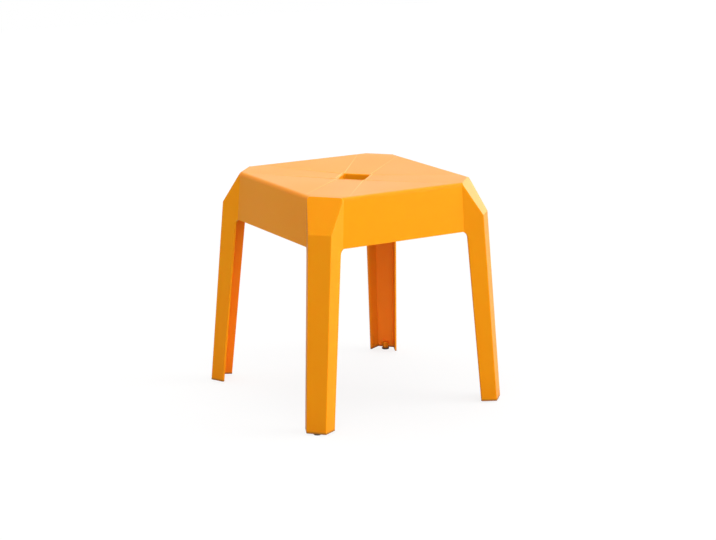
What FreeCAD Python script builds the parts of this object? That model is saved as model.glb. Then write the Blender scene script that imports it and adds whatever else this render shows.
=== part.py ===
import FreeCAD, Part
import math
import os

import Sketcher
from FreeCAD import Placement, Rotation, Vector

# A stacking stool moulded in one piece, with a soft pad under each leg.
# Millimetres and degrees. The origin is on the floor under the middle of the seat, Z is up,
# and the four aprons face +X, -X, +Y and -Y.

SIZES = (
    ("seat_height", 450.0, "floor to the rim of the seat"),
    ("seat_half", 186.0, "axis to the top edge of an apron"),
    ("edge_half", 134.5, "half of a straight seat edge, between two cut corners"),
    ("edge_radius", 8.0, "rounding of the four straight seat edges and of the tops of the leg flanges"),
    ("apron_depth", 97.5, "rim of the seat down to the lower edge of an apron"),
    ("apron_draft", 2.6, "degrees that an apron leans outward"),
    ("shoulder_drop", 65.0, "rim of the seat down to the bend in a cut corner"),
    ("shoulder_reach", 42.0, "how far that bend stands out from the rim, along the diagonal"),
    ("leg_splay", 4.95, "degrees that the outer web of a leg leans outward below the bend"),
    ("flare_angle", 25.2, "degrees in plan between an apron and the leg flange beside it"),
    ("flare_draft", 1.2, "degrees that a leg flange leans outward"),
    ("opening_half", 145.0, "half width of the opening between two legs, at its top"),
    ("opening_slope", 4.5, "degrees that the sides of that opening lean from upright"),
    ("opening_radius", 12.0, "rounding of its two upper corners"),
    ("fold_round", 1.5, "rounding of the folds round a cut corner and down a leg"),
    ("wall", 3.2, "thickness of the aprons and the legs"),
    ("seat_wall", 3.6, "thickness of the seat"),
    ("rim_width", 9.0, "flat band between the edge of the seat and its dish"),
    ("dish_end", 117.0, "half of a straight side of the dish, between two fold lines"),
    ("dish_depth", 5.0, "rim of the seat down to the ring round the hand hole"),
    ("ring_half", 42.0, "axis to a corner of that ring, where two fold lines meet"),
    ("ring_corner", 3.5, "half width of the blunt end of a corner of the ring"),
    ("bead_width", 1.6, "raised line along each fold of the seat and round the ring"),
    ("bead_height", 0.5, "height of that line at the ring; it fades to nothing at the rim"),
    ("hole_half", 38.0, "axis to a corner of the hand hole"),
    ("hole_radius", 5.0, "rounding of the corners of the hand hole"),
    ("hole_bevel", 1.2, "bevel of the upper edge of the hand hole"),
    ("collar_wall", 2.6, "thickness of the collar round the hand hole"),
    ("rib_height", 10.0, "underside of the seat at the hand hole down to the edge of the ribs"),
    ("rib_wall", 2.2, "thickness of a rib"),
    ("pad_diameter", 16.0, "soft pad under a leg"),
    ("pad_height", 3.0, "the part of a pad that shows below the leg"),
    ("pad_bevel", 1.0, "bevel round the tread of a pad"),
    ("stem_diameter", 6.0, "stem of a pad"),
    ("stem_length", 10.0, "length of that stem"),
    ("stem_bevel", 0.75, "bevel of the tip of that stem"),
    ("stem_clearance", 0.1, "gap round the stem and above it in its boss"),
    ("boss_wall", 3.4, "wall of the boss that takes a stem, and its roof above the stem"),
    ("boss_cover", 0.7, "least wall outside a boss, where it runs into the web of the leg"),
)

# Expressions shared by the sections. A depth is measured down from the rim of the seat.
PHI = "Sizes.flare_angle"
LEG_BASE = "(Sizes.seat_height - Sizes.pad_height)"
CORNER_SLOPE = "(Sizes.shoulder_reach / Sizes.shoulder_drop)"
RIM_CORNER = "((Sizes.seat_half + Sizes.edge_half) / sqrt(2))"
RIB_EDGE = "(Sizes.seat_wall + Sizes.dish_depth + Sizes.rib_height)"
DISH_HALF = "(Sizes.seat_half - Sizes.rim_width)"
FOLD_SLOPE = f"((Sizes.dish_end - Sizes.ring_corner) / ({DISH_HALF} - Sizes.ring_half))"
BORE_RADIUS = "(Sizes.stem_diameter / 2 + Sizes.stem_clearance)"
BOSS_RADIUS = f"({BORE_RADIUS} + Sizes.boss_wall)"
BOSS_HEIGHT = "(Sizes.stem_length + Sizes.stem_clearance + Sizes.boss_wall)"


def apron_half(depth, inset):
    """Axis to the face of an apron: the seat's half width plus the draft, less the inset."""
    return f"(Sizes.seat_half + ({depth}) * tan(Sizes.apron_draft) - ({inset}) / cos(Sizes.apron_draft))"


def flange_offset(depth, inset):
    """Axis to the face of a leg flange along its level normal; the face starts at the rim's corner."""
    at_rim = f"(Sizes.seat_half * cos({PHI}) - Sizes.edge_half * sin({PHI}))"
    return f"({at_rim} + ({depth}) * tan(Sizes.flare_draft) - ({inset}) / cos(Sizes.flare_draft))"


def corner_above(depth, inset):
    """Axis to the face of a cut corner along the diagonal, above the bend."""
    return f"({RIM_CORNER} + ({depth}) * {CORNER_SLOPE} - ({inset}) * sqrt(1 + {CORNER_SLOPE} ^ 2))"


def corner_below(depth, inset):
    """The same, below the bend, where it is the outer web of the leg."""
    drop = f"(({depth}) - Sizes.shoulder_drop) * tan(Sizes.leg_splay)"
    return f"({RIM_CORNER} + Sizes.shoulder_reach + {drop} - ({inset}) / cos(Sizes.leg_splay))"


def bend_depth(inset):
    """Depth at which the two faces of a cut corner, both moved in by the inset, meet."""
    spread = f"(sqrt(1 + {CORNER_SLOPE} ^ 2) - 1 / cos(Sizes.leg_splay))"
    return f"(Sizes.shoulder_drop + ({inset}) * {spread} / ({CORNER_SLOPE} - tan(Sizes.leg_splay)))"


LEG_FOOT = corner_below(LEG_BASE, "0")
PAD_REACH = f"({LEG_FOOT} - {BOSS_RADIUS} - {BOSS_HEIGHT} * tan(Sizes.leg_splay) - Sizes.boss_cover)"


def quarter_turn(point, turns):
    """A point, given as two expressions, turned about the axis by that many quarters."""
    across, along = point
    back, left = f"-({across})", f"-({along})"
    return ((across, along), (left, across), (back, left), (along, back))[turns]


def all_round(points):
    """The points of one quarter of a section, repeated in the other three."""
    return [quarter_turn(point, turns) for turns in range(4) for point in points]


def square(half):
    return all_round([(half, half)])


def diamond(half):
    return all_round([(half, "0")])


def octagon(half, end):
    """Eight points: each side lies at half from the axis and runs to end both ways."""
    return all_round([(half, end), (end, half)])


def star(offset):
    """Flange faces meet over the middle of an apron, and those of one leg on the diagonal."""
    tip = f"({offset}) / (cos({PHI}) - sin({PHI}))"
    return all_round([(f"({offset}) / cos({PHI})", "0"), (tip, tip)])


def origin_feature(body, role):
    return next(item for item in body.Origin.OriginFeatures if item.Role == role)


def pin_point(sketch, line, axis, expression):
    """Hold one coordinate of a line's start at an expression, or on the axis where it is nought."""
    kind, on_axis = (("DistanceX", -2), ("DistanceY", -1))[axis]
    if expression.strip("-()") == "0":
        sketch.addConstraint(Sketcher.Constraint("PointOnObject", line, 1, on_axis))
        return
    number = sketch.addConstraint(Sketcher.Constraint(kind, -1, 1, line, 1, 1.0))
    sketch.setExpression(f"Constraints[{number}]", expression)


def polygon(sketch, points):
    """Closed outline of straight lines, each corner held by two expressions."""
    count = len(points)
    first = sketch.GeometryCount
    turns = [2 * math.pi * index / count for index in range(count)]
    ring = [Vector(100 * math.cos(turn), 100 * math.sin(turn), 0) for turn in turns]
    for index in range(count):
        sketch.addGeometry(Part.LineSegment(ring[index], ring[(index + 1) % count]), False)
    for index, point in enumerate(points):
        following = first + (index + 1) % count
        sketch.addConstraint(Sketcher.Constraint("Coincident", first + index, 2, following, 1))
        for axis in (0, 1):
            pin_point(sketch, first + index, axis, point[axis])
    sketch.Document.recompute()


def round_corners(sketch, corners, radius):
    """Round the corners at the starts of the given lines of a polygon; the radius names a size."""
    value = float(getattr(sketch.Document.Sizes, radius))
    count = sum(isinstance(item, Part.LineSegment) for item in sketch.Geometry)
    for line in corners:
        before = (line - 1) % count
        corner = sketch.getPoint(line, 1)
        back = corner + (sketch.getPoint(before, 1) - corner) * 0.1
        ahead = corner + (sketch.getPoint(line, 2) - corner) * 0.1
        sketch.fillet(before, line, back, ahead, value, True, True)
        arc = max(index for index, item in enumerate(sketch.Geometry) if isinstance(item, Part.ArcOfCircle))
        number = sketch.addConstraint(Sketcher.Constraint("Radius", arc, value))
        sketch.setExpression(f"Constraints[{number}]", f"Sizes.{radius}")


def new_sketch(body, name, role):
    """An empty sketch on one of the body's own origin planes."""
    sketch = body.newObject("Sketcher::SketchObject", name)
    sketch.AttachmentSupport = [(origin_feature(body, role), "")]
    sketch.MapMode = "FlatFace"
    return sketch


def upright_sketch(body, name, turn):
    """An empty sketch on the XZ plane, turned about the axis by that many degrees."""
    sketch = new_sketch(body, name, "XZ_Plane")
    sketch.AttachmentOffset = Placement(Vector(0, 0, 0), Rotation(Vector(0, 1, 0), turn))
    return sketch


def section(body, name, depth, points):
    """A level outline of straight lines at a depth below the rim of the seat."""
    sketch = new_sketch(body, name, "XY_Plane")
    sketch.setExpression(".AttachmentOffset.Base.z", f"Sizes.seat_height - ({depth})")
    polygon(sketch, points)
    return sketch


def level_circle(body, name, height, reach, radius):
    """A level circle at a height above the floor, centred on the diagonal at a distance from the axis."""
    sketch = new_sketch(body, name, "XY_Plane")
    sketch.setExpression(".AttachmentOffset.Base.z", height)
    sketch.addGeometry(Part.Circle(Vector(1, 1, 0), Vector(0, 0, 1), 1.0), False)
    centre = f"({reach}) / sqrt(2)"
    if reach == "0":
        sketch.addConstraint(Sketcher.Constraint("Coincident", 0, 3, -1, 1))
    else:
        for kind in ("DistanceX", "DistanceY"):
            number = sketch.addConstraint(Sketcher.Constraint(kind, -1, 1, 0, 3, 1.0))
            sketch.setExpression(f"Constraints[{number}]", centre)
    number = sketch.addConstraint(Sketcher.Constraint("Radius", 0, 1.0))
    sketch.setExpression(f"Constraints[{number}]", radius)
    return sketch


def extrude(body, kind, name, sketch, length, down=False):
    """Pad or pocket a sketch by a length; a sketch on a level plane goes up unless it says down."""
    feature = body.newObject(f"PartDesign::{kind}", name)
    feature.Profile = sketch
    feature.setExpression("Length", length)
    feature.Reversed = down if kind == "Pad" else not down
    body.Document.recompute()
    return feature


def cut_through(body, name, sketch):
    """Pocket a sketch both ways through the whole body."""
    feature = body.newObject("PartDesign::Pocket", name)
    feature.Profile = sketch
    feature.Type = "ThroughAll"
    feature.Midplane = True
    body.Document.recompute()
    return feature


def loft(body, kind, name, sections):
    """Flat faces between two level sections, added to the body or cut from it."""
    feature = body.newObject(f"PartDesign::{kind}", name)
    feature.Profile = sections[0]
    feature.Sections = sections[1:]
    feature.Ruled = True
    body.Document.recompute()
    return feature


def four_times(body, name, features):
    """Repeat features at the other three quarters."""
    pattern = body.newObject("PartDesign::PolarPattern", name)
    pattern.Originals = features
    pattern.Axis = (origin_feature(body, "Z_Axis"), [""])
    pattern.Angle = 360
    pattern.Occurrences = 4
    body.Tip = pattern
    body.Document.recompute()
    return pattern


def edges_where(shape, test):
    """Names of the edges whose two ends both pass a test."""
    return [f"Edge{number}" for number, edge in enumerate(shape.Edges, start=1)
            if len(edge.Vertexes) == 2 and all(test(vertex.Point) for vertex in edge.Vertexes)]


def ease(body, kind, name, base, edges, size):
    """Round or bevel the named edges of a feature; the kind is Fillet or Chamfer."""
    feature = body.newObject(f"PartDesign::{kind}", name)
    feature.Base = (base, edges)
    feature.setExpression("Radius" if kind == "Fillet" else "Size", size)
    body.Document.recompute()
    return feature


def circles_at(shape, level):
    """Names of the round edges that lie at a level."""
    return [f"Edge{number}" for number, edge in enumerate(shape.Edges, start=1)
            if edge.Closed and abs(edge.CenterOfMass.z - level) < 0.001]


def new_body(doc, label):
    body = doc.addObject("PartDesign::Body", "".join(word.title() for word in label.split("_")))
    body.Label = label
    return body


def drafted_prism(body, name, top, foot, points, draft, radius):
    """A prism down from one depth to another: its sides lean outward and its upper edges are rounded."""
    outline = section(body, name + "Outline", top, points)
    prism = extrude(body, "Pad", name, outline, f"{foot} - ({top})", down=True)
    sides = []
    for number, face in enumerate(prism.Shape.Faces, start=1):
        upward = face.normalAt(0, 0).z
        if abs(upward) < 0.5:
            sides.append(f"Face{number}")
        elif upward > 0.5:
            lid = f"Face{number}"
    leaning = body.newObject("PartDesign::Draft", name + "Draft")
    leaning.Base = (prism, sides)
    leaning.NeutralPlane = (prism, [lid])
    leaning.setExpression("Angle", draft)
    body.Document.recompute()
    rim = max(vertex.Z for vertex in leaning.Shape.Vertexes)
    upper = edges_where(leaning.Shape, lambda point: abs(point.z - rim) < 0.001)
    ease(body, "Fillet", name + "Edges", leaning, upper, radius)


def boolean(body, name, kind, tool):
    feature = body.newObject("PartDesign::Boolean", name)
    feature.setObjects([tool])
    feature.Type = kind
    body.Document.recompute()
    return feature


def faceted_form(doc, label, inset, top, apron_foot, leg_foot, radius):
    """The form between aprons, flared legs and cut corners, with every face moved in by the inset."""
    flanges = new_body(doc, label + "_flanges")
    points = star(flange_offset(top, inset))
    drafted_prism(flanges, "Flanges", top, leg_foot, points, "Sizes.flare_draft", radius)
    body = new_body(doc, label)
    points = square(apron_half(top, inset))
    drafted_prism(body, "Aprons", top, apron_foot, points, "Sizes.apron_draft", radius)
    boolean(body, "WithFlanges", "Fuse", flanges)
    cut_corners(body, inset)
    return body


def cut_corners(body, inset):
    """Cut the four corners back to their facet above the bend and to the web of the leg below it."""
    over = "-Sizes.wall"
    under = "(Sizes.seat_height + Sizes.wall)"
    bend = bend_depth(inset)
    far = "(2 * Sizes.seat_half)"
    outline = [(corner_above(over, inset), over), (corner_above(bend, inset), bend),
               (corner_below(under, inset), under), (far, under), (far, over)]
    sketch = upright_sketch(body, "CornerOutline", 45)
    polygon(sketch, [(reach, f"Sizes.seat_height - ({depth})") for reach, depth in outline])
    cut = cut_through(body, "CornerCut", sketch)
    return four_times(body, "CornerCuts", [cut])


def soften_folds(body):
    """Round every edge of the four corner facets and leg webs, apart from the feet of the legs."""
    shape = body.Tip.Shape
    foot = min(vertex.Z for vertex in shape.Vertexes)
    folds = []
    for face in shape.Faces:
        across, along, upward = face.normalAt(0, 0)
        if abs(abs(across) - abs(along)) < 0.001 and abs(upward) < 0.9:
            folds += [edge for edge in face.Edges if max(vertex.Z for vertex in edge.Vertexes) > foot + 0.001]
    names = [f"Edge{number}" for number, edge in enumerate(shape.Edges, start=1)
             if any(edge.isSame(fold) for fold in folds)]
    ease(body, "Fillet", "SoftFolds", body.Tip, names, "Sizes.fold_round")


def cut_opening(body, name, role):
    """Cut the openings between the legs on two opposite sides."""
    top = "(Sizes.seat_height - Sizes.apron_depth)"
    below = "Sizes.opening_radius"
    foot = f"(Sizes.opening_half + ({top} + {below}) * tan(Sizes.opening_slope))"
    sketch = new_sketch(body, name + "Outline", role)
    polygon(sketch, [(f"-{foot}", f"-{below}"), (foot, f"-{below}"),
                     ("Sizes.opening_half", top), ("-Sizes.opening_half", top)])
    round_corners(sketch, (2, 3), "opening_radius")
    cut_through(body, name, sketch)


def add_ribs(body):
    """Ribs under the seat: below each fold line, between them and in a ring, none as deep as an apron."""
    height = f"({RIB_EDGE} - Sizes.seat_wall)"
    half = "Sizes.rib_wall / 2"
    rim = "(Sizes.seat_half - Sizes.edge_radius)"
    corner = f"({RIM_CORNER} - Sizes.edge_radius)"
    wide = f"({half} * sqrt(1 + {FOLD_SLOPE} ^ 2))"
    outer_end = f"(Sizes.ring_corner + ({rim} - Sizes.ring_half) * {FOLD_SLOPE})"
    meeting = f"(Sizes.ring_half - Sizes.ring_corner / {FOLD_SLOPE})"
    fold = [(meeting, f"-{wide}"), (rim, f"{outer_end} - {wide}"),
            (rim, f"{outer_end} + {wide}"), (meeting, wide)]
    mirrored = [(across, f"-({along})") for across, along in fold]
    near = "(Sizes.hole_half / 2)"
    middle = [(near, f"-{half}"), (rim, f"-{half}"), (rim, half), (near, half)]
    far = f"({corner} / sqrt(2))"
    side = f"({half} / sqrt(2))"
    diagonal = [(f"{near} + {side}", f"{near} - {side}"), (f"{far} + {side}", f"{far} - {side}"),
                (f"{far} - {side}", f"{far} + {side}"), (f"{near} - {side}", f"{near} + {side}")]
    ribs = []
    for name, points in (("FoldRib", fold), ("OtherFoldRib", mirrored), ("MiddleRib", middle),
                         ("CornerRib", diagonal)):
        outline = section(body, name + "Outline", RIB_EDGE, points)
        ribs.append(extrude(body, "Pad", name, outline, height))
    four_times(body, "Ribs", ribs)
    ring = f"(({rim} + Sizes.ring_half) / 2)"
    ring_end = f"(Sizes.ring_corner + ({ring} - Sizes.ring_half) * {FOLD_SLOPE})"
    outline = band(body, "RingRibOutline", RIB_EDGE, ring, ring_end, "Sizes.rib_wall")
    extrude(body, "Pad", "RingRib", outline, height)


def band(body, name, depth, half, end, width):
    """A level outline between an octagon and the same octagon moved in by a width."""
    outline = section(body, name, depth, octagon(half, end))
    polygon(outline, octagon(f"({half} - {width})", f"({end} - (sqrt(2) - 1) * {width})"))
    return outline


def add_beads(body):
    """Raised lines along the folds of the dish, from its rim to the ring, and round the ring."""
    wide = f"(Sizes.bead_width / 2 * sqrt(1 + {FOLD_SLOPE} ^ 2))"
    ring_level = "(Sizes.seat_height - Sizes.dish_depth)"
    beads = []
    for side, name in (("", "Bead"), ("-", "OtherBead")):
        ends = []
        for place, reach, fold, level, top in (
                ("Rim", DISH_HALF, "Sizes.dish_end", "Sizes.seat_height", "Sizes.seat_height"),
                ("Ring", "Sizes.ring_half", "Sizes.ring_corner", ring_level,
                 f"({ring_level} + Sizes.bead_height)")):
            sketch = new_sketch(body, name + place, "YZ_Plane")
            sketch.setExpression(".AttachmentOffset.Base.z", reach)
            under = f"({level} - Sizes.bead_width)"
            polygon(sketch, [(f"{side}{fold} - {wide}", under), (f"{side}{fold} + {wide}", under),
                             (f"{side}{fold} + {wide}", top), (f"{side}{fold} - {wide}", top)])
            ends.append(sketch)
        beads.append(loft(body, "AdditiveLoft", name, ends))
    four_times(body, "Beads", beads)
    outline = band(body, "RingBeadOutline", "(Sizes.dish_depth + Sizes.bead_width)", "Sizes.ring_half",
                   "Sizes.ring_corner", "Sizes.bead_width")
    extrude(body, "Pad", "RingBead", outline, "Sizes.bead_width + Sizes.bead_height")


def add_collar(body):
    """Turned-down edge of the hand hole, as deep as the ribs."""
    corner = "(Sizes.hole_half + sqrt(2) * Sizes.collar_wall)"
    outline = section(body, "CollarOutline", RIB_EDGE, diamond(corner))
    round_corners(outline, (0, 1, 2, 3), "hole_radius")
    extrude(body, "Pad", "Collar", outline, f"{RIB_EDGE} - Sizes.seat_wall")


def add_bosses(body):
    """A blind boss inside the foot of each leg, run into its web, for the stem of a pad."""
    outline = level_circle(body, "BossOutline", "Sizes.pad_height", PAD_REACH, BOSS_RADIUS)
    boss = extrude(body, "Pad", "Boss", outline, BOSS_HEIGHT)
    outline = level_circle(body, "BoreOutline", "Sizes.pad_height", PAD_REACH, BORE_RADIUS)
    bore = extrude(body, "Pocket", "Bore", outline, "Sizes.stem_length + Sizes.stem_clearance")
    four_times(body, "Bosses", [boss, bore])


def dish_form(doc, label, depth):
    """A shallow block from a depth down, cut below to eight flat facets that meet in the fold lines."""
    body = new_body(doc, label)
    rim = f"(Sizes.seat_height - {depth})"
    ring = f"({rim} - Sizes.dish_depth)"
    outline = section(body, "RimOutline", depth, octagon(DISH_HALF, "Sizes.dish_end"))
    extrude(body, "Pad", "Block", outline, "Sizes.dish_depth", down=True)
    wedges = []
    for name, turn, inner, outer in (
            ("Side", 0, "Sizes.ring_half", DISH_HALF),
            ("Corner", 45, "((Sizes.ring_half + Sizes.ring_corner) / sqrt(2))",
             f"(({DISH_HALF} + Sizes.dish_end) / sqrt(2))")):
        sketch = upright_sketch(body, name + "Slope", turn)
        past, under = f"{outer} + Sizes.dish_depth", f"{ring} - Sizes.dish_depth"
        polygon(sketch, [(inner, ring), (outer, rim), (past, rim), (past, under), (inner, under)])
        wedges.append(cut_through(body, name + "Facet", sketch))
    four_times(body, "Facets", wedges)
    return body


def moulded_body(doc):
    """Seat, aprons, legs, ribs, collar and bosses in one moulding."""
    past_apron = "(Sizes.apron_depth + Sizes.wall)"
    cavity = faceted_form(doc, "cavity", "Sizes.wall", "Sizes.seat_wall", past_apron, "Sizes.seat_height",
                          "Sizes.edge_radius - Sizes.wall")
    body = faceted_form(doc, "moulded_body", "0", "0", "Sizes.apron_depth", LEG_BASE, "Sizes.edge_radius")
    soften_folds(body)
    boolean(body, "Hollow", "Cut", cavity)
    cut_opening(body, "OpeningsFrontBack", "XZ_Plane")
    cut_opening(body, "OpeningsSides", "YZ_Plane")
    boolean(body, "SeatLining", "Fuse", dish_form(doc, "seat_lining", "Sizes.seat_wall"))
    add_ribs(body)
    add_collar(body)
    add_bosses(body)
    boolean(body, "SeatDish", "Cut", dish_form(doc, "seat_dish", "0"))
    add_beads(body)
    outline = section(body, "HandHoleOutline", "0", diamond("Sizes.hole_half"))
    round_corners(outline, (0, 1, 2, 3), "hole_radius")
    hole = cut_through(body, "HandHole", outline)
    half = float(doc.Sizes.hole_half)
    level = float(doc.Sizes.seat_height) - float(doc.Sizes.dish_depth)
    upper = edges_where(hole.Shape, lambda point: abs(point.z - level) < 0.001
                        and abs(point.x) + abs(point.y) < half + 0.001)
    ease(body, "Chamfer", "HandHoleEdge", hole, upper, "Sizes.hole_bevel")
    return body


def foot_pad(doc, label, across, along):
    """A round tread with a stem in the boss; across and along are the signs of its corner."""
    body = new_body(doc, label)
    outline = level_circle(body, "TreadOutline", "0", "0", "Sizes.pad_diameter / 2")
    tread = extrude(body, "Pad", "Tread", outline, "Sizes.pad_height")
    ease(body, "Chamfer", "TreadBevel", tread, circles_at(tread.Shape, 0), "Sizes.pad_bevel")
    outline = level_circle(body, "StemOutline", "Sizes.pad_height", "0", "Sizes.stem_diameter / 2")
    stem = extrude(body, "Pad", "Stem", outline, "Sizes.stem_length")
    tip = max(vertex.Z for vertex in stem.Shape.Vertexes)
    ease(body, "Chamfer", "StemBevel", stem, circles_at(stem.Shape, tip), "Sizes.stem_bevel")
    body.setExpression(".Placement.Base.x", f"{across} * {PAD_REACH} / sqrt(2)")
    body.setExpression(".Placement.Base.y", f"{along} * {PAD_REACH} / sqrt(2)")
    doc.recompute()
    return body


def main():
    doc = FreeCAD.newDocument("StackingStool")
    sheet = doc.addObject("Spreadsheet::Sheet", "Sizes")
    for row, (alias, value, meaning) in enumerate(SIZES, start=1):
        sheet.set(f"A{row}", meaning)
        sheet.set(f"B{row}", str(value))
        sheet.setAlias(f"B{row}", alias)
    doc.recompute()
    parts = [moulded_body(doc)]
    for label, across, along in (("foot_pad_front_left", -1, -1), ("foot_pad_front_right", 1, -1),
                                 ("foot_pad_back_left", -1, 1), ("foot_pad_back_right", 1, 1)):
        parts.append(foot_pad(doc, label, across, along))
    doc.recompute()
    for item in doc.Objects:
        if "Invalid" in item.State or "Error" in item.State:
            raise RuntimeError(f"{item.Name} failed: {item.State} {item.getStatusString()}")
    os.makedirs("parts", exist_ok=True)
    for item in parts:
        shape = item.Shape
        if shape.isNull() or not shape.isValid():
            raise RuntimeError(f"{item.Label} has no valid shape")
        print(item.Label, "solids", len(shape.Solids), "faces", len(shape.Faces), "volume", shape.Volume)
        shape.exportStep(f"parts/{item.Label}.step")


main()
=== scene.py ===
"""Looks of the stacking stool: satin orange moulding, rubber foot pads and a plain studio.

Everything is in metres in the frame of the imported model: the origin lies on the floor under the
middle of the seat, Z is up and -Y is the front.
"""

import math

import bpy
import numpy as np
from bpy.props import FloatProperty, FloatVectorProperty, PointerProperty
from mathutils import Matrix, Vector


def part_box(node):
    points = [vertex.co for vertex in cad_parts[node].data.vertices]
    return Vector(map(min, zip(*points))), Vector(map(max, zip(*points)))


bl_info = {
    "name": "Stacking Stool Looks",
    "version": (1, 0, 0),
    "blender": (4, 5, 0),
    "location": "View3D > Sidebar > Stool",
    "description": "Finishes a moulded stacking stool and sets up its studio",
    "category": "Object",
}

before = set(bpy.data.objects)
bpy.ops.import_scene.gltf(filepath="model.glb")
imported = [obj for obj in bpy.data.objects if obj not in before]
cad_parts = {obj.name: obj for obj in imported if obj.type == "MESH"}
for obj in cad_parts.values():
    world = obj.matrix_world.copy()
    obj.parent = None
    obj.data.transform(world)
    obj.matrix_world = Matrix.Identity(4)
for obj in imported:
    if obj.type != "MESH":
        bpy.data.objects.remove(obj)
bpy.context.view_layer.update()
SEAT_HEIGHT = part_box("moulded_body")[1].z
LEG_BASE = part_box("moulded_body")[0].z
FOOT_PADS = sorted(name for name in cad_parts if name.startswith("foot_pad"))

# Waves per metre of the slow changes of tone in the plastic, and of the dust on the foot pads.
TONE_SCALE = 7.0
DUST_SCALE = 900.0
# Largest share of the redder tone in those changes, of the painted foot shade and contact shadow, and of pad
# dust.
TONE_SHARE = 0.35
FOOT_SHADE_SHARE = 0.7
CONTACT_SHADOW_SHARE = 0.85
DUST_SHARE = 0.6
# How far the roughness of the plastic departs from its mean.
ROUGHNESS_SPREAD = 0.04
# A raised line has its full painted highlight up to the first share of its half width and none from the
# second on.
LINE_CORE = 0.6
LINE_END = 1.3
# Share of that painted highlight that a line still has where it meets the rim.
LINE_AT_RIM = 0.3
# The inner faces of the legs lie in planes that are farther than this from the stool's axis.
INNER_REACH = 0.05
# Turn across both level axes at once where the painted red glow of an inner face starts, and where it is
# strongest.
INNER_TURN = (0.15, 0.65)
# With less turn than this, a rounded edge is one of the four above the aprons.
EDGE_TURN = 0.2

# Each lamp: the studio property that holds its level, then in degrees its turn from the front to the
# right, its tilt above the horizon and the angle over which it is spread.
LAMPS = {
    "top_light": ("top_level", 0, 90, 80),
    "key_light": ("key_level", 57, 10, 44),
    "fill_light": ("fill_level", -32, 5, 60),
    "rim_light": ("rim_level", 115, 12, 50),
}


class StoolFinish(bpy.types.PropertyGroup):
    """Colours and surface of the stool."""

    plastic: FloatVectorProperty(
        name="Plastic", description="Colour of the moulded plastic", subtype="COLOR", size=3,
        min=0, max=1, default=(0.81, 0.295, 0.006))
    # Deep plastic is also the colour of the painted shade at the feet and on the rounded edges above the
    # aprons.
    deep_plastic_and_shade: FloatVectorProperty(
        name="Deep Plastic", description="Redder colour of the plastic where it is a little thicker",
        subtype="COLOR", size=3, min=0, max=1, default=(0.76, 0.245, 0.005))
    # Painted light: a red glow on the legs' inner faces stands in for light bounced between them and through
    # the wall.
    inner_glow: FloatVectorProperty(
        name="Inner Plastic",
        description="Redder plastic of the legs' inner faces, where light comes through the wall",
        subtype="COLOR", size=3, min=0, max=1, default=(1.0, 0.27, 0.02))
    gloss: FloatVectorProperty(
        name="Gloss", description="Tint of what the plastic reflects head-on; a glancing look stays white",
        subtype="COLOR", size=3, min=0, max=1, default=(1.0, 0.55, 0.10))
    roughness: FloatProperty(
        name="Roughness", description="Mean roughness of the satin surface", subtype="FACTOR",
        min=0, max=1, default=0.30)
    index: FloatProperty(
        name="Index", description="Index of refraction, which sets how much the plastic reflects", min=1,
        max=2, default=1.34)
    translucence: FloatProperty(
        name="Translucence", description="Share of the light that goes into the wall before it comes out",
        subtype="FACTOR", min=0, max=1, default=0.35)
    light_depth: FloatProperty(
        name="Light Depth", description="How far that light goes in, at most", subtype="DISTANCE",
        unit="LENGTH", min=0, default=0.004)
    spread: FloatVectorProperty(
        name="Spread", description="Shares of that depth for red, green and blue light", size=3, min=0,
        max=1, default=(1.0, 0.35, 0.08))
    grain_size: FloatProperty(
        name="Grain Size", description="Size of one grain of the fine mould texture", subtype="DISTANCE",
        unit="LENGTH", min=0.0002, max=0.01, default=0.0009)
    grain_depth: FloatProperty(
        name="Grain Depth", description="Depth of that texture", subtype="DISTANCE", unit="LENGTH",
        min=0, max=0.001, default=0.00002)
    # Painted highlight: the paler colour on the seat's raised lines stands in for light catching them.
    fold_highlight: FloatVectorProperty(
        name="Fold Colour", description="Paler plastic on the raised lines of the seat", subtype="COLOR",
        size=3, min=0, max=1, default=(0.95, 0.52, 0.14))
    # Painted shade: the plastic turns redder and darker towards the feet, up to this height.
    foot_shade_height: FloatProperty(
        name="Foot Fade", description="Height at which the redder tone of the feet has faded out",
        subtype="DISTANCE", unit="LENGTH", min=0.01, default=0.12)
    # Painted shadow: a dark band along the bottom edges of the legs, where they meet the floor.
    contact_shadow: FloatVectorProperty(
        name="Grime", description="Dirt on the lower edges of the legs", subtype="COLOR", size=3, min=0,
        max=1, default=(0.12, 0.065, 0.03))
    contact_shadow_height: FloatProperty(
        name="Grime Height", description="How far that dirt reaches up a leg", subtype="DISTANCE",
        unit="LENGTH", min=0.001, default=0.005)
    rubber: FloatVectorProperty(
        name="Rubber", description="Colour of the foot pads", subtype="COLOR", size=3, min=0, max=1,
        default=(0.055, 0.042, 0.034))
    dust: FloatVectorProperty(
        name="Dust", description="Dust on the tread of the foot pads", subtype="COLOR", size=3, min=0,
        max=1, default=(0.25, 0.24, 0.22))


class StoolFolds(bpy.types.PropertyGroup):
    """Where the raised lines of the seat run, one quarter standing for all."""

    rim_half: FloatProperty(
        name="Rim Half", description="Axis to the rim of the dish", subtype="DISTANCE", unit="LENGTH",
        default=0.177)
    rim_end: FloatProperty(
        name="Rim End", description="Half of a straight side of the rim, where a line starts",
        subtype="DISTANCE", unit="LENGTH", default=0.117)
    ring_half: FloatProperty(
        name="Ring Half", description="Axis to a corner of the ring round the hand hole",
        subtype="DISTANCE", unit="LENGTH", default=0.042)
    ring_end: FloatProperty(
        name="Ring End", description="Half width of the blunt end of that corner", subtype="DISTANCE",
        unit="LENGTH", default=0.0035)
    depth: FloatProperty(
        name="Depth", description="Rim of the seat down to just under the ring", subtype="DISTANCE",
        unit="LENGTH", default=0.0053)
    line_width: FloatProperty(
        name="Line Width", description="Width of a raised line", subtype="DISTANCE", unit="LENGTH",
        default=0.0018)
    # Strength of the painted highlight on the raised lines.
    strength: FloatProperty(
        name="Strength", description="How far a raised line takes the fold colour", subtype="FACTOR",
        min=0, max=1, default=0.85)


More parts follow.
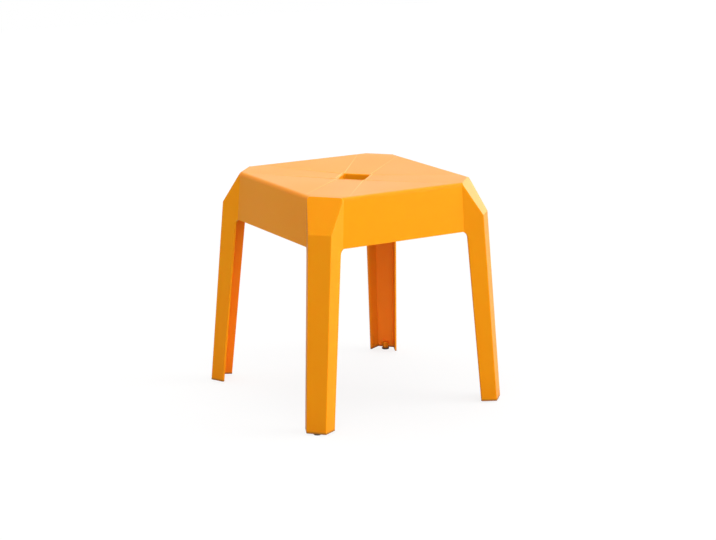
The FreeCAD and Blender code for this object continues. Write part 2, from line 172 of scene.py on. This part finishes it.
class StoolStudio(bpy.types.PropertyGroup):
    """Floor, light and camera."""

    floor_colour: FloatVectorProperty(
        name="Floor Colour", description="Colour of the pale floor", subtype="COLOR", size=3, min=0,
        max=1, default=(0.40, 0.40, 0.40))
    floor_half: FloatProperty(
        name="Floor Half", description="Half width of the floor", subtype="DISTANCE", unit="LENGTH",
        default=6.0)
    floor_glow: FloatProperty(
        name="Floor Glow", description="Share of plain white in the floor that the camera sees",
        subtype="FACTOR", min=0, max=1, default=0.65)
    floor_white: FloatProperty(
        name="Floor White", description="Strength of that white", min=0, default=1.27)
    world_level: FloatProperty(
        name="World Level", description="Even light from all round", min=0, default=0.33)
    top_level: FloatProperty(
        name="Top Level", description="Soft light from above; 1 shows a colour as written", min=0,
        default=0.74)
    key_level: FloatProperty(
        name="Key Level", description="Main light, from the right", min=0, default=1.23)
    fill_level: FloatProperty(
        name="Fill Level", description="Softer light from beside the camera", min=0, default=0.54)
    rim_level: FloatProperty(
        name="Rim Level", description="Weak light from the far right", min=0, default=0.14)
    azimuth: FloatProperty(
        name="Azimuth", description="Turn of the camera from the front of the stool", subtype="ANGLE",
        unit="ROTATION", default=math.radians(-31.35))
    elevation: FloatProperty(
        name="Elevation", description="Camera above the horizon", subtype="ANGLE", unit="ROTATION",
        default=math.radians(14.32))
    distance: FloatProperty(
        name="Distance", description="Camera to the middle of the stool", subtype="DISTANCE",
        unit="LENGTH", default=3.80122)
    aim_right: FloatProperty(
        name="Aim Right", description="Sideways place of the camera's axis", subtype="DISTANCE",
        unit="LENGTH", default=0.00857)
    aim_up: FloatProperty(
        name="Aim Up", description="Height of the camera's axis over half the seat height, across it",
        subtype="DISTANCE", unit="LENGTH", default=0.02611)
    lens: FloatProperty(
        name="Lens", description="Focal length", subtype="DISTANCE_CAMERA", unit="CAMERA", default=94.02)


def add_node(tree, kind, place, **settings):
    """A shader node; settings name its properties, and numbers in inputs its sockets."""
    node = tree.nodes.new(kind)
    node.location = place
    for name, value in settings.pop("inputs", {}).items():
        node.inputs[name].default_value = value
    for name, value in settings.items():
        setattr(node, name, value)
    return node


def maths(tree, operation, place, first, second=None, clamp=False):
    """A Math node fed by sockets or plain numbers."""
    node = add_node(tree, "ShaderNodeMath", place, operation=operation, use_clamp=clamp)
    for index, value in enumerate((first, second)):
        if isinstance(value, bpy.types.NodeSocket):
            tree.links.new(value, node.inputs[index])
        elif value is not None:
            node.inputs[index].default_value = value
    return node.outputs[0]


def new_material(name):
    """An empty node material with its output; returns the material, its tree and the output."""
    material = bpy.data.materials.new(name)
    material.use_nodes = True
    material.node_tree.nodes.clear()
    output = add_node(material.node_tree, "ShaderNodeOutputMaterial", (900, 0))
    return material, material.node_tree, output


def colour_mix(tree, place, blend_type="MIX"):
    return add_node(tree, "ShaderNodeMix", place, data_type="RGBA", blend_type=blend_type)


def fold_highlight_mask(tree, position, folds):
    """Share of the painted highlight: largest on the raised lines of the seat, 0 away from them.

    Both level coordinates are made positive and sorted, so that one eighth stands for all. There a
    line runs from the ring to the rim, and the mask falls off with the distance from it; the ring's
    own line is where the sum of the two coordinates is constant.
    """
    split = add_node(tree, "ShaderNodeSeparateXYZ", (-1500, -500))
    tree.links.new(position, split.inputs[0])
    across = maths(tree, "ABSOLUTE", (-1340, -420), split.outputs["X"])
    along = maths(tree, "ABSOLUTE", (-1340, -580), split.outputs["Y"])
    far = maths(tree, "MAXIMUM", (-1180, -420), across, along)
    near = maths(tree, "MINIMUM", (-1180, -580), across, along)
    slope = (folds.rim_end - folds.ring_end) / (folds.rim_half - folds.ring_half)
    line = maths(tree, "MULTIPLY_ADD", (-1020, -420), far, slope)
    line.node.inputs[2].default_value = folds.ring_end - folds.ring_half * slope
    away = maths(tree, "ABSOLUTE", (-700, -420), maths(tree, "SUBTRACT", (-860, -420), near, line))
    away = maths(tree, "DIVIDE", (-540, -420), away, math.sqrt(1 + slope ** 2))
    outside = maths(tree, "GREATER_THAN", (-860, -260), far, folds.ring_half - folds.line_width)
    fade = add_node(tree, "ShaderNodeMapRange", (-860, -100),
                    inputs={"From Min": folds.ring_half, "From Max": folds.rim_half, "To Min": 1.0,
                            "To Max": LINE_AT_RIM})
    tree.links.new(far, fade.inputs["Value"])
    within = maths(tree, "LESS_THAN", (-700, -100), far, folds.rim_half)
    within = maths(tree, "MULTIPLY", (-620, -100), within, fade.outputs["Result"])
    outside = maths(tree, "MULTIPLY", (-540, -180), outside, within)
    total = maths(tree, "ADD", (-1020, -640), far, near)
    from_ring = maths(tree, "ABSOLUTE", (-700, -640),
                      maths(tree, "SUBTRACT", (-860, -640), total,
                            folds.ring_half + folds.ring_end - folds.line_width / math.sqrt(2)))
    from_ring = maths(tree, "DIVIDE", (-540, -640), from_ring, math.sqrt(2))
    half = folds.line_width / 2
    masks = []
    for distance, height in ((away, -420), (from_ring, -640)):
        band = add_node(tree, "ShaderNodeMapRange", (-380, height), interpolation_type="SMOOTHSTEP",
                        inputs={"From Min": half * LINE_CORE, "From Max": half * LINE_END,
                                "To Min": 1.0, "To Max": 0.0})
        tree.links.new(distance, band.inputs["Value"])
        masks.append(band.outputs["Result"])
    radial = maths(tree, "MULTIPLY", (-220, -420), masks[0], outside)
    both = maths(tree, "MAXIMUM", (-60, -520), radial, masks[1])
    upper = maths(tree, "GREATER_THAN", (-220, -760), split.outputs["Z"], SEAT_HEIGHT - folds.depth)
    masked = maths(tree, "MULTIPLY", (100, -560), both, upper)
    return maths(tree, "MULTIPLY", (200, -560), masked, folds.strength)


def normal_parts(tree):
    """The face's direction, its upward part, and how far it is turned across both level axes at once."""
    normal = add_node(tree, "ShaderNodeTexCoord", (-1700, 800)).outputs["Normal"]
    split = add_node(tree, "ShaderNodeSeparateXYZ", (-1500, 980))
    tree.links.new(normal, split.inputs[0])
    across = maths(tree, "ABSOLUTE", (-1300, 1060), split.outputs["X"])
    along = maths(tree, "ABSOLUTE", (-1300, 900), split.outputs["Y"])
    return normal, split.outputs["Z"], maths(tree, "MINIMUM", (-1100, 980), across, along)


def inner_glow_mask(tree, position, normal, askew):
    """Painted red glow: 1 on the inner faces of the leg webs, less on those of the flanges, 0 elsewhere.

    Such a face is turned to the stool's axis and lies well away from the hand hole.
    """
    level = add_node(tree, "ShaderNodeVectorMath", (-1300, 620), operation="MULTIPLY")
    level.inputs[1].default_value = (1, 1, 0)
    tree.links.new(position, level.inputs[0])
    facing = add_node(tree, "ShaderNodeVectorMath", (-1100, 800), operation="DOT_PRODUCT")
    tree.links.new(normal, facing.inputs[0])
    tree.links.new(level.outputs["Vector"], facing.inputs[1])
    inward = maths(tree, "LESS_THAN", (-900, 800), facing.outputs["Value"], -INNER_REACH)
    share = add_node(tree, "ShaderNodeMapRange", (-900, 980),
                     inputs={"From Min": INNER_TURN[0], "From Max": INNER_TURN[1], "To Min": 0.0,
                             "To Max": 1.0})
    tree.links.new(askew, share.inputs["Value"])
    return maths(tree, "MULTIPLY", (-540, 860), inward, share.outputs["Result"])


def edge_shade_mask(tree, upward, askew):
    """Painted shade: 1 half way round the rounded edges above the aprons, 0 on level and upright faces.

    It is the upward part of the face's direction times what that part lacks to 1, times four.
    """
    level_share = maths(tree, "SUBTRACT", (-900, 1240), 1.0, upward)
    bulge = maths(tree, "MULTIPLY", (-720, 1240), upward, level_share)
    bulge = maths(tree, "MULTIPLY", (-540, 1240), bulge, 4.0, clamp=True)
    straight = maths(tree, "LESS_THAN", (-720, 1100), askew, EDGE_TURN)
    return maths(tree, "MULTIPLY", (-360, 1180), bulge, straight)


def plastic_material(finish, folds):
    """Satin plastic: slow tone changes, fine mould grain, and painted highlights, shade, inner glow and
    contact shadow.
    """
    material, tree, output = new_material("satin_orange_plastic")
    position = add_node(tree, "ShaderNodeTexCoord", (-1700, 0)).outputs["Object"]
    shader = add_node(tree, "ShaderNodeBsdfPrincipled", (600, 0))
    shader.inputs["IOR"].default_value = finish.index
    shader.inputs["Specular Tint"].default_value = (*finish.gloss, 1)
    shader.inputs["Subsurface Weight"].default_value = finish.translucence
    shader.inputs["Subsurface Radius"].default_value = finish.spread
    shader.inputs["Subsurface Scale"].default_value = finish.light_depth
    tree.links.new(shader.outputs[0], output.inputs["Surface"])

    flow = add_node(tree, "ShaderNodeTexNoise", (-1100, 300),
                    inputs={"Scale": TONE_SCALE, "Detail": 0.0, "Roughness": 0.5, "Distortion": 0.0})
    tree.links.new(position, flow.inputs["Vector"])
    tone = colour_mix(tree, (-300, 300))
    tone.inputs["A"].default_value = (*finish.plastic, 1)
    tone.inputs["B"].default_value = (*finish.deep_plastic_and_shade, 1)
    drift = add_node(tree, "ShaderNodeMapRange", (-700, 300),
                     inputs={"From Min": 0.1, "From Max": 0.9, "To Min": 0.0, "To Max": TONE_SHARE})
    tree.links.new(flow.outputs["Fac"], drift.inputs["Value"])
    height = add_node(tree, "ShaderNodeSeparateXYZ", (-1300, 100))
    tree.links.new(position, height.inputs[0])
    # Painted shade: redder and darker towards the feet.
    low = add_node(tree, "ShaderNodeMapRange", (-900, 120),
                   inputs={"From Min": LEG_BASE, "From Max": finish.foot_shade_height, "To Min": FOOT_SHADE_SHARE,
                           "To Max": 0.0})
    tree.links.new(height.outputs["Z"], low.inputs["Value"])
    normal, upward, askew = normal_parts(tree)
    deeper_and_shaded = maths(tree, "MAXIMUM", (-500, 300), drift.outputs["Result"], low.outputs["Result"])
    # Painted shade: a deeper tone on the rounded edges above the aprons damps their highlight.
    deeper_and_shaded = maths(tree, "MAXIMUM", (-400, 300), deeper_and_shaded, edge_shade_mask(tree, upward, askew))
    tree.links.new(deeper_and_shaded, tone.inputs["Factor"])
    # Painted light: a red glow on the legs' inner faces.
    inner_glowed = colour_mix(tree, (0, 300))
    inner_glowed.inputs["B"].default_value = (*finish.inner_glow, 1)
    tree.links.new(tone.outputs["Result"], inner_glowed.inputs["A"])
    tree.links.new(inner_glow_mask(tree, position, normal, askew), inner_glowed.inputs["Factor"])
    # Painted highlight on the raised lines of the seat.
    fold_highlit = colour_mix(tree, (300, 300))
    fold_highlit.inputs["B"].default_value = (*finish.fold_highlight, 1)
    tree.links.new(inner_glowed.outputs["Result"], fold_highlit.inputs["A"])
    tree.links.new(fold_highlight_mask(tree, position, folds), fold_highlit.inputs["Factor"])
    # Painted shadow: a dark band along the bottom edges of the legs.
    shadow_band = add_node(tree, "ShaderNodeMapRange", (-500, 620),
                    inputs={"From Min": LEG_BASE, "From Max": LEG_BASE + finish.contact_shadow_height,
                            "To Min": CONTACT_SHADOW_SHARE, "To Max": 0.0})
    tree.links.new(height.outputs["Z"], shadow_band.inputs["Value"])
    shadowed = colour_mix(tree, (450, 300))
    shadowed.inputs["B"].default_value = (*finish.contact_shadow, 1)
    tree.links.new(shadow_band.outputs["Result"], shadowed.inputs["Factor"])
    tree.links.new(fold_highlit.outputs["Result"], shadowed.inputs["A"])
    tree.links.new(shadowed.outputs["Result"], shader.inputs["Base Color"])

    grain = add_node(tree, "ShaderNodeTexNoise", (-700, -60),
                     inputs={"Scale": 1 / finish.grain_size, "Detail": 2.0, "Roughness": 0.6})
    tree.links.new(position, grain.inputs["Vector"])
    worn = add_node(tree, "ShaderNodeMapRange", (-100, 60),
                    inputs={"From Min": 0.1, "From Max": 0.9,
                            "To Min": finish.roughness - ROUGHNESS_SPREAD,
                            "To Max": finish.roughness + ROUGHNESS_SPREAD})
    tree.links.new(flow.outputs["Fac"], worn.inputs["Value"])
    tree.links.new(worn.outputs["Result"], shader.inputs["Roughness"])
    bump = add_node(tree, "ShaderNodeBump", (300, -120),
                    inputs={"Strength": 0.5, "Distance": finish.grain_depth})
    tree.links.new(grain.outputs["Fac"], bump.inputs["Height"])
    tree.links.new(bump.outputs["Normal"], shader.inputs["Normal"])
    return material


def rubber_material(finish):
    """Matt rubber with a dusty tread: the lowest layer is greyer, in fine speckles."""
    material, tree, output = new_material("foot_pad_rubber")
    position = add_node(tree, "ShaderNodeTexCoord", (-900, 0)).outputs["Object"]
    shader = add_node(tree, "ShaderNodeBsdfPrincipled", (600, 0), inputs={"Roughness": 0.75, "IOR": 1.5})
    tree.links.new(shader.outputs[0], output.inputs["Surface"])
    speckle = add_node(tree, "ShaderNodeTexNoise", (-700, 100), inputs={"Scale": DUST_SCALE, "Detail": 3.0})
    tree.links.new(position, speckle.inputs["Vector"])
    split = add_node(tree, "ShaderNodeSeparateXYZ", (-700, -150))
    tree.links.new(position, split.inputs[0])
    low = add_node(tree, "ShaderNodeMapRange", (-500, -150),
                   inputs={"From Min": 0.0, "From Max": LEG_BASE, "To Min": DUST_SHARE, "To Max": 0.0})
    tree.links.new(split.outputs["Z"], low.inputs["Value"])
    dusty = maths(tree, "MULTIPLY", (-300, 0), speckle.outputs["Fac"], low.outputs["Result"])
    tone = colour_mix(tree, (0, 100))
    tone.inputs["A"].default_value = (*finish.rubber, 1)
    tone.inputs["B"].default_value = (*finish.dust, 1)
    tree.links.new(dusty, tone.inputs["Factor"])
    tree.links.new(tone.outputs["Result"], shader.inputs["Base Color"])
    bump = add_node(tree, "ShaderNodeBump", (300, -120), inputs={"Strength": 0.4, "Distance": 0.0002})
    tree.links.new(speckle.outputs["Fac"], bump.inputs["Height"])
    tree.links.new(bump.outputs["Normal"], shader.inputs["Normal"])
    return material


def dress(node_name, material):
    """Give a CAD node its finish in every material slot."""
    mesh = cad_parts[node_name].data
    if not mesh.materials:
        mesh.materials.append(material)
    for index in range(len(mesh.materials)):
        mesh.materials[index] = material


def surface_grid(name, points):
    """A mesh from points[row, column, xyz]: neighbours in both directions span the quads."""
    rows, columns = points.shape[:2]
    index = np.arange(rows * columns).reshape(rows, columns)
    quads = np.stack([index[:-1, :-1], index[:-1, 1:], index[1:, 1:], index[1:, :-1]], axis=-1)
    mesh = bpy.data.meshes.new(name)
    mesh.from_pydata(points.reshape(-1, 3).tolist(), [], quads.reshape(-1, 4).tolist())
    mesh.update()
    piece = bpy.data.objects.new(name, mesh)
    bpy.context.scene.collection.objects.link(piece)
    return piece


def outward(turn, tilt):
    """Unit vector from the stool: turned about Z from the front, to the right, and tilted up."""
    return Vector((math.sin(turn) * math.cos(tilt), -math.cos(turn) * math.cos(tilt), math.sin(tilt)))


def soft_light(name, level, turn, tilt, spread):
    """Distant light from a direction, spread over an angle; the angles are degrees."""
    light = bpy.data.lights.new(name, "SUN")
    light.energy = level * math.pi
    light.angle = math.radians(spread)
    lamp = bpy.data.objects.new(name, light)
    towards = outward(math.radians(turn), math.radians(tilt))
    lamp.matrix_world = towards.to_track_quat("Z", "Y").to_matrix().to_4x4()
    bpy.context.scene.collection.objects.link(lamp)
    return lamp


class STOOL_OT_finish_moulding(bpy.types.Operator):
    """Give the one-piece moulding its satin orange plastic"""

    bl_idname = "stool.finish_moulding"
    bl_label = "Finish Moulding"

    def execute(self, context):
        dress("moulded_body", plastic_material(context.scene.stool_finish, context.scene.stool_folds))
        return {"FINISHED"}


class STOOL_OT_finish_foot_pads(bpy.types.Operator):
    """Give the foot pads their matt rubber"""

    bl_idname = "stool.finish_foot_pads"
    bl_label = "Finish Foot Pads"

    def execute(self, context):
        rubber = rubber_material(context.scene.stool_finish)
        for name in FOOT_PADS:
            dress(name, rubber)
        return {"FINISHED"}


class STOOL_OT_set_studio(bpy.types.Operator):
    """Lay the pale floor, set the soft lamps and the even light, and place the camera"""

    bl_idname = "stool.set_studio"
    bl_label = "Set Studio"

    def execute(self, context):
        studio = context.scene.stool_studio
        self.lay_floor(studio)
        self.light_world(context.scene, studio)
        for name, (level, turn, tilt, spread) in LAMPS.items():
            soft_light(name, getattr(studio, level), turn, tilt, spread)
        self.place_camera(context.scene, studio)
        context.scene.view_settings.view_transform = "Standard"
        return {"FINISHED"}

    def lay_floor(self, studio):
        """A level square; the camera sees it nearly white, and the stool's shadow stays on it."""
        reach = np.linspace(-studio.floor_half, studio.floor_half, 9)
        across, along = np.meshgrid(reach, reach)
        floor = surface_grid("floor", np.stack([across, along, np.zeros_like(across)], axis=-1))
        material, tree, output = new_material("pale_floor")
        paint = add_node(tree, "ShaderNodeBsdfDiffuse", (0, 0), inputs={"Color": (*studio.floor_colour, 1)})
        glow = add_node(tree, "ShaderNodeEmission", (0, -200),
                        inputs={"Color": (1, 1, 1, 1), "Strength": studio.floor_white})
        rays = add_node(tree, "ShaderNodeLightPath", (0, 400))
        seen = maths(tree, "MULTIPLY", (200, 300), rays.outputs["Is Camera Ray"], studio.floor_glow)
        blend = add_node(tree, "ShaderNodeMixShader", (400, 0))
        tree.links.new(seen, blend.inputs[0])
        tree.links.new(paint.outputs[0], blend.inputs[1])
        tree.links.new(glow.outputs[0], blend.inputs[2])
        tree.links.new(blend.outputs[0], output.inputs["Surface"])
        floor.data.materials.append(material)

    def light_world(self, scene, studio):
        """Grey light from all round, white where the camera sees it or its reflection."""
        world = bpy.data.worlds.new("studio_world")
        world.use_nodes = True
        tree = world.node_tree
        tree.nodes.clear()
        output = add_node(tree, "ShaderNodeOutputWorld", (600, 0))
        rays = add_node(tree, "ShaderNodeLightPath", (-200, 200))
        level = studio.world_level
        even = add_node(tree, "ShaderNodeBackground", (200, 0), inputs={"Color": (level, level, level, 1)})
        white = add_node(tree, "ShaderNodeBackground", (200, -200), inputs={"Color": (1, 1, 1, 1)})
        shown = maths(tree, "MAXIMUM", (0, 300), rays.outputs["Is Camera Ray"], rays.outputs["Is Glossy Ray"])
        shown = maths(tree, "MAXIMUM", (200, 300), shown, rays.outputs["Is Transmission Ray"])
        blend = add_node(tree, "ShaderNodeMixShader", (400, 0))
        tree.links.new(shown, blend.inputs[0])
        tree.links.new(even.outputs[0], blend.inputs[1])
        tree.links.new(white.outputs[0], blend.inputs[2])
        tree.links.new(blend.outputs[0], output.inputs["Surface"])
        scene.world = world

    def place_camera(self, scene, studio):
        """Back from the middle of the stool by the distance, then aside and up across the view."""
        back = outward(studio.azimuth, studio.elevation)
        right = Vector((math.cos(studio.azimuth), math.sin(studio.azimuth), 0))
        up = back.cross(right)
        place = (Vector((0, 0, SEAT_HEIGHT / 2)) + back * studio.distance + right * studio.aim_right
                 + up * studio.aim_up)
        camera = bpy.data.objects.new("camera", bpy.data.cameras.new("camera"))
        camera.data.lens = studio.lens
        camera.data.sensor_width = 36.0
        axes = Matrix((right, up, back)).transposed()
        camera.matrix_world = Matrix.Translation(place) @ axes.to_4x4()
        scene.collection.objects.link(camera)
        scene.camera = camera


class STOOL_PT_sidebar(bpy.types.Panel):
    """Sizes, colours and steps of the stool"""

    bl_idname = "STOOL_PT_sidebar"
    bl_label = "Stacking Stool"
    bl_space_type = "VIEW_3D"
    bl_region_type = "UI"
    bl_category = "Stool"

    def draw(self, context):
        for group in (context.scene.stool_finish, context.scene.stool_folds, context.scene.stool_studio):
            column = self.layout.column()
            for name in group.__annotations__:
                column.prop(group, name)
        for step in STEPS:
            self.layout.operator(step.bl_idname)


GROUPS = {"stool_finish": StoolFinish, "stool_folds": StoolFolds, "stool_studio": StoolStudio}
STEPS = (STOOL_OT_finish_moulding, STOOL_OT_finish_foot_pads, STOOL_OT_set_studio)


def register():
    for kind in (*GROUPS.values(), *STEPS, STOOL_PT_sidebar):
        bpy.utils.register_class(kind)
    for name, group in GROUPS.items():
        setattr(bpy.types.Scene, name, PointerProperty(type=group))


def unregister():
    for name in GROUPS:
        delattr(bpy.types.Scene, name)
    for kind in reversed((*GROUPS.values(), *STEPS, STOOL_PT_sidebar)):
        bpy.utils.unregister_class(kind)


def main():
    register()
    for step in STEPS:
        group, name = step.bl_idname.split(".")
        getattr(getattr(bpy.ops, group), name)()


if __name__ == "__main__":
    main()
